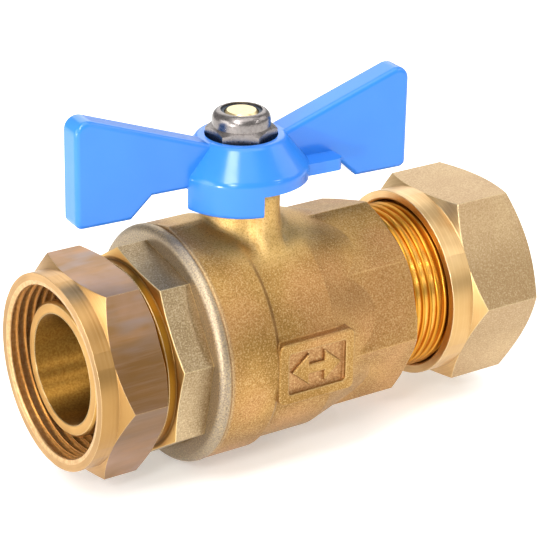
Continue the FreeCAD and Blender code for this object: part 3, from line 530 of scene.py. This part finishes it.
mouthRing = {  # first full ridge of the nut's thread, flush with its rim: x and radius of its section
    "name": "union_nut_thread_lead", "body": "union_nut", "slot": "drawn_brass", "steps": 128,
    "sharpAngle": 25.0,
    "section": [(-35.08, 15.6), (-35.08, 14.7), (-34.92, 14.15), (-34.6, 14.05), (-34.25, 14.8),
                (-34.25, 15.6)],
}


def turnedBrassMaterial(name, s):  # cut thread: bright, with fine rings
    material, tree, place, shader = startMaterial(name)
    shader.inputs["Metallic"].default_value = 1.0
    finishMaterial(tree, shader, *turnedFinish(tree, place.outputs["Object"], s), s["depth"])
    return material


def threadTree():
    tree = bpy.data.node_groups.new("thread", "GeometryNodeTree")
    inputs = [("Start", "Float"), ("Pitch", "Float"), ("Turns", "Float"), ("Root Radius", "Float"),
              ("Height", "Float"), ("Foot", "Float"), ("Crest", "Float"), ("Fade", "Float"),
              ("Material", "Material")]
    for name, kind in inputs:
        tree.interface.new_socket(name, in_out="INPUT", socket_type="NodeSocket" + kind)
    tree.interface.new_socket("Geometry", in_out="OUTPUT", socket_type="NodeSocketGeometry")
    source = addNode(tree, "NodeGroupInput").outputs
    rise = addNode(tree, "ShaderNodeMath", {"operation": "MULTIPLY"},
                   {0: source["Pitch"], 1: source["Turns"]})
    spiral = addNode(tree, "GeometryNodeCurveSpiral", {"Resolution": threadSteps["perTurn"]},
                     {"Rotations": source["Turns"], "Start Radius": source["Root Radius"],
                      "End Radius": source["Root Radius"], "Height": rise.outputs["Value"]})
    upright = addNode(tree, "GeometryNodeSetCurveNormal", {"mode": "Z_UP"},
                      {"Curve": spiral.outputs["Curve"]})
    share = addNode(tree, "GeometryNodeSplineParameter")
    back = addNode(tree, "ShaderNodeMath", {"operation": "SUBTRACT", 0: 1.0}, {1: share.outputs["Factor"]})
    nearEnd = addNode(tree, "ShaderNodeMath", {"operation": "MINIMUM"},
                      {0: share.outputs["Factor"], 1: back.outputs["Value"]})
    fade = addNode(tree, "ShaderNodeMapRange", {"To Min": threadSteps["thinnest"]},
                   {"Value": nearEnd.outputs["Value"], "From Max": source["Fade"]})
    thin = addNode(tree, "GeometryNodeSetCurveRadius", {},
                   {"Curve": upright.outputs["Curve"], "Radius": fade.outputs["Result"]})
    ridge = addNode(tree, "GeometryNodeCurvePrimitiveQuadrilateral", {"mode": "TRAPEZOID", "Offset": 0.0},
                    {"Bottom Width": source["Foot"], "Top Width": source["Crest"],
                     "Height": source["Height"]})
    half = addNode(tree, "ShaderNodeMath", {"operation": "MULTIPLY", 1: 0.5}, {0: source["Height"]})
    shift = addNode(tree, "ShaderNodeCombineXYZ", {}, {"Y": half.outputs["Value"]})
    seated = addNode(tree, "GeometryNodeTransform", {},
                     {"Geometry": ridge.outputs["Curve"], "Translation": shift.outputs["Vector"]})
    swept = addNode(tree, "GeometryNodeCurveToMesh", {"Fill Caps": True},
                    {"Curve": thin.outputs["Curve"], "Profile Curve": seated.outputs["Geometry"]})
    start = addNode(tree, "ShaderNodeCombineXYZ", {}, {"X": source["Start"]})
    laid = addNode(tree, "GeometryNodeTransform", {"Rotation": (0, math.pi / 2, 0)},
                   {"Geometry": swept.outputs["Mesh"], "Translation": start.outputs["Vector"]})
    real = addNode(tree, "GeometryNodeRealizeInstances", {}, {"Geometry": laid.outputs["Geometry"]})
    painted = addNode(tree, "GeometryNodeSetMaterial", {},
                      {"Geometry": real.outputs["Geometry"], "Material": source["Material"]})
    addNode(tree, "NodeGroupOutput", {}, {"Geometry": painted.outputs["Geometry"]})
    return tree


def makeThread(tree, s, material):
    carrier = newObject(s["name"] + "_path", bpy.data.meshes.new(s["name"] + "_path"))
    modifier = carrier.modifiers.new("thread", "NODES")
    modifier.node_group = tree
    lengths = {"Start": "start", "Pitch": "pitch", "Root Radius": "rootRadius", "Height": "height",
               "Foot": "foot", "Crest": "crest"}
    for item in tree.interface.items_tree:
        if item.in_out != "INPUT":
            continue
        if item.name in lengths:
            modifier[item.identifier] = s[lengths[item.name]] * mm
        elif item.name == "Material":
            modifier[item.identifier] = material
        else:
            modifier[item.identifier] = s[item.name.lower()]
    evaluated = carrier.evaluated_get(bpy.context.evaluated_depsgraph_get())
    mesh = bpy.data.meshes.new_from_object(evaluated)
    carrier.modifiers.remove(modifier)
    bpy.data.objects.remove(carrier)
    shape = bmesh.new()
    shape.from_mesh(mesh)
    bmesh.ops.recalc_face_normals(shape, faces=shape.faces)
    shape.to_mesh(mesh)
    shape.free()
    thread = newObject(s["name"], mesh)
    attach(thread, s["body"])
    print(s["name"], len(mesh.polygons), "faces")


def makeMouthRing(s, material):
    shape = bmesh.new()
    rows = []
    for step in range(s["steps"]):
        turn = 2 * math.pi * step / s["steps"]
        rows.append([shape.verts.new((x * mm, r * mm * math.cos(turn), r * mm * math.sin(turn)))
                     for x, r in s["section"]])
    for here, there in zip(rows, rows[1:] + rows[:1]):
        for i in range(len(here)):
            shape.faces.new((here[i - 1], here[i], there[i], there[i - 1]))
    bmesh.ops.recalc_face_normals(shape, faces=shape.faces)
    mesh = bpy.data.meshes.new(s["name"])
    shape.to_mesh(mesh)
    shape.free()
    mesh.materials.append(material)
    mesh.shade_smooth()
    mesh.set_sharp_from_angle(angle=math.radians(s["sharpAngle"]))
    ring = newObject(s["name"], mesh)
    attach(ring, s["body"])
    print(s["name"], len(mesh.polygons), "faces")


# handle: die casting under a thick gloss powder coat

paintSettings = {
    "deep": "#206BC8", "fair": "#307BD2", "cloud": 14.0, "peel": 1.6, "depth": 0.004, "rough": 0.19,
    "ior": 1.5,
}


def dressHandle():  # powder coat: even colour, a wet gloss and a faint orange peel
    s = paintSettings
    material, tree, place, shader = startMaterial("blue_powder_coat")
    spot = place.outputs["Object"]
    cloud = addNode(tree, "ShaderNodeTexNoise", {"Scale": perMetre(s["cloud"]), "Detail": 2.0},
                    {"Vector": spot})
    peel = addNode(tree, "ShaderNodeTexNoise", {"Scale": perMetre(s["peel"]), "Detail": 1.0},
                   {"Vector": spot})
    colour = addNode(tree, "ShaderNodeMix",
                     {"data_type": "RGBA", colourA: hexColour(s["deep"]), colourB: hexColour(s["fair"])},
                     {mixShare: cloud.outputs["Fac"]})
    rough = addNode(tree, "ShaderNodeMapRange",
                    {"To Min": s["rough"] - roughVary["paint"], "To Max": s["rough"] + roughVary["paint"]},
                    {"Value": peel.outputs["Fac"]})
    shader.inputs["IOR"].default_value = s["ior"]
    finishMaterial(tree, shader, colour.outputs[mixedColour], rough.outputs["Result"], peel.outputs["Fac"],
                   s["depth"])
    dress("butterfly_handle", material)
    print("handle dressed")


# small parts: one plain finish each, with its own grain

smallParts = {
    "zinc_plated_steel": {  # bright plating: a cool grey shine with a fine grain
        "nodes": ["lock_nut"], "dark": "#676160", "light": "#9C9591", "grain": 0.5, "depth": 0.006,
        "rough": 0.28, "metallic": 1.0},
    "moulded_nylon": {  # dark and waxy, with a soft gleam
        "nodes": ["lock_nut_insert"], "dark": "#1B2530", "light": "#2A3644", "grain": 0.6, "depth": 0.01,
        "rough": 0.5, "metallic": 0.0},
    "turned_brass_stem": {  # pale and bright from the lathe
        "nodes": ["stem"], "dark": "#CDB27A", "light": "#F0DDB0", "grain": 0.35, "depth": 0.01,
        "rough": 0.3, "metallic": 1.0},
    "chrome_plate": {  # polished close to a mirror
        "nodes": ["ball"], "dark": "#C9CACC", "light": "#E3E4E6", "grain": 2.0, "depth": 0.002,
        "rough": 0.07, "metallic": 1.0},
    "turned_ptfe": {  # dense white with a dull sheen
        "nodes": ["seat_ring_union_side", "seat_ring_compression_side", "stem_thrust_washer"],
        "dark": "#DAD9D2", "light": "#EFEEE9", "grain": 0.4, "depth": 0.008, "rough": 0.45, "metallic": 0.0},
    "nitrile_rubber": {  # near black and matte
        "nodes": ["stem_o_ring_lower", "stem_o_ring_upper", "body_seal_ring"],
        "dark": "#121212", "light": "#1E1E1E", "grain": 0.3, "depth": 0.01, "rough": 0.55, "metallic": 0.0},
    "spring_steel": {  # plain grey satin
        "nodes": ["nut_retaining_ring"], "dark": "#6E6E70", "light": "#9A9A9C", "grain": 0.3, "depth": 0.006,
        "rough": 0.32, "metallic": 1.0},
    "soft_brass": {  # yellow and clean from turning
        "nodes": ["compression_olive"], "dark": "#C89B4E", "light": "#EBC883", "grain": 0.35, "depth": 0.008,
        "rough": 0.28, "metallic": 1.0},
}


def dressSmallParts():
    for name, s in smallParts.items():
        material, tree, place, shader = startMaterial(name)
        grain = addNode(tree, "ShaderNodeTexNoise", {"Scale": perMetre(s["grain"]), "Detail": 3.0},
                        {"Vector": place.outputs["Object"]})
        colour = addNode(tree, "ShaderNodeMix",
                         {"data_type": "RGBA", colourA: hexColour(s["dark"]), colourB: hexColour(s["light"])},
                         {mixShare: grain.outputs["Fac"]})
        rough = addNode(tree, "ShaderNodeMapRange",
                        {"To Min": s["rough"] - roughVary["small"],
                         "To Max": s["rough"] + roughVary["small"]},
                        {"Value": grain.outputs["Fac"]})
        shader.inputs["Metallic"].default_value = s["metallic"]
        finishMaterial(tree, shader, colour.outputs[mixedColour], rough.outputs["Result"],
                       grain.outputs["Fac"], s["depth"])
        for node in s["nodes"]:
            dress(node, material)
    print("small parts dressed")


# studio: pale floor, soft light, camera

studio = {
    "azimuth": -34.16, "elevation": 23.67, "roll": 1.16, "distance": 382.5, "aim": (6.2, 0.2, 8.1),
    "lens": 154.9, "sensor": 36.0, "nearest": 10.0, "farthest": 20000.0,
    "floorDrop": 0.5, "floorSize": 4000.0, "floor": "#F4F4F2", "floorGlow": 0.35, "floorRough": 0.8,
    "floorShine": 0.1, "sky": "#FFFFFF", "skyStrength": 0.5,
    "lamps": {  # azimuth, elevation, distance, size, power in W
        "top": (10, 82, 900, 900, 4.0),
        "key": (-57, 58, 1000, 300, 3.0),
        "streakHigh": (39, 36, 1000, 45, 0.55),
        "streakLow": (33, 20, 1000, 35, 0.4),
        "back": (150, 32, 1000, 900, 3.0),
        "left": (-98, 14, 900, 700, 4.6),
        "front": (-47, 34, 1000, 180, 2.6),
        "frontLow": (-45, 17, 1000, 120, 0.5),
        "boss": (-59, 45, 1000, 100, 1.3),
        "right": (75, 35, 1000, 600, 1.5),
        "bore": (-66, 1, 1000, 30, 4.0),
    },
}


def direction(azimuth, elevation):  # azimuth 0 stands in front, on -Y
    a, e = math.radians(azimuth), math.radians(elevation)
    return Vector((math.sin(a) * math.cos(e), -math.cos(a) * math.cos(e), math.sin(e)))


def lookFrame(back, roll=0.0):  # rotation whose local Z points back from what is looked at
    right = Vector((0, 0, 1)).cross(back).normalized()
    up = back.cross(right)
    turn = math.radians(roll)
    right, up = right * math.cos(turn) + up * math.sin(turn), up * math.cos(turn) - right * math.sin(turn)
    return Matrix((right, up, back)).transposed().to_4x4()


def makeStudio():
    s, scene = studio, bpy.context.scene
    half, level = s["floorSize"] * mm / 2, cadBox[0][2] - s["floorDrop"] * mm
    floorMesh = bpy.data.meshes.new("floor")
    corners = [(-half, -half, level), (half, -half, level), (half, half, level), (-half, half, level)]
    floorMesh.from_pydata(corners, [], [range(len(corners))])
    floor = newObject("floor", floorMesh)
    material, *_, shader = startMaterial("floor_paper")
    shader.inputs["Base Color"].default_value = hexColour(s["floor"])
    shader.inputs["Roughness"].default_value = s["floorRough"]
    shader.inputs["Specular IOR Level"].default_value = s["floorShine"]
    shader.inputs["Emission Color"].default_value = hexColour(s["floor"])  # a light table keeps shadows faint
    shader.inputs["Emission Strength"].default_value = s["floorGlow"]
    floorMesh.materials.append(material)
    world = bpy.data.worlds.new("studio")
    world.use_nodes = True
    sky = world.node_tree.nodes["Background"].inputs
    sky["Color"].default_value = hexColour(s["sky"])
    sky["Strength"].default_value = s["skyStrength"]
    scene.world = world
    for name, (azimuth, elevation, distance, size, power) in s["lamps"].items():
        light = bpy.data.lights.new(name, "AREA")
        light.shape, light.size, light.energy = "DISK", size * mm, power
        lamp = newObject(name, light)
        lamp.visible_camera = False
        back = direction(azimuth, elevation)
        lamp.matrix_world = Matrix.Translation(back * distance * mm) @ lookFrame(back)
    camera = newObject("camera", bpy.data.cameras.new("camera"))
    camera.data.lens, camera.data.sensor_width = s["lens"], s["sensor"]
    camera.data.clip_start, camera.data.clip_end = s["nearest"] * mm, s["farthest"] * mm
    back = direction(s["azimuth"], s["elevation"])
    stand = Vector(s["aim"]) * mm + back * s["distance"] * mm
    camera.matrix_world = Matrix.Translation(stand) @ lookFrame(back, s["roll"])
    scene.camera = camera
    scene.view_settings.view_transform = "Standard"
    print("studio set")


makeFlowArrow(dressBody())
dressConnector()
rimBrass = dressUnionNut()
dressCompressionNut()
dressHandle()
dressSmallParts()
ridgeTree = threadTree()
makeThread(ridgeTree, maleThread, turnedBrassMaterial("cut_thread_brass", threadBrass))
makeThread(ridgeTree, unionThread, turnedBrassMaterial("cut_nut_thread_brass", nutThreadBrass))
makeMouthRing(mouthRing, rimBrass)
makeStudio()
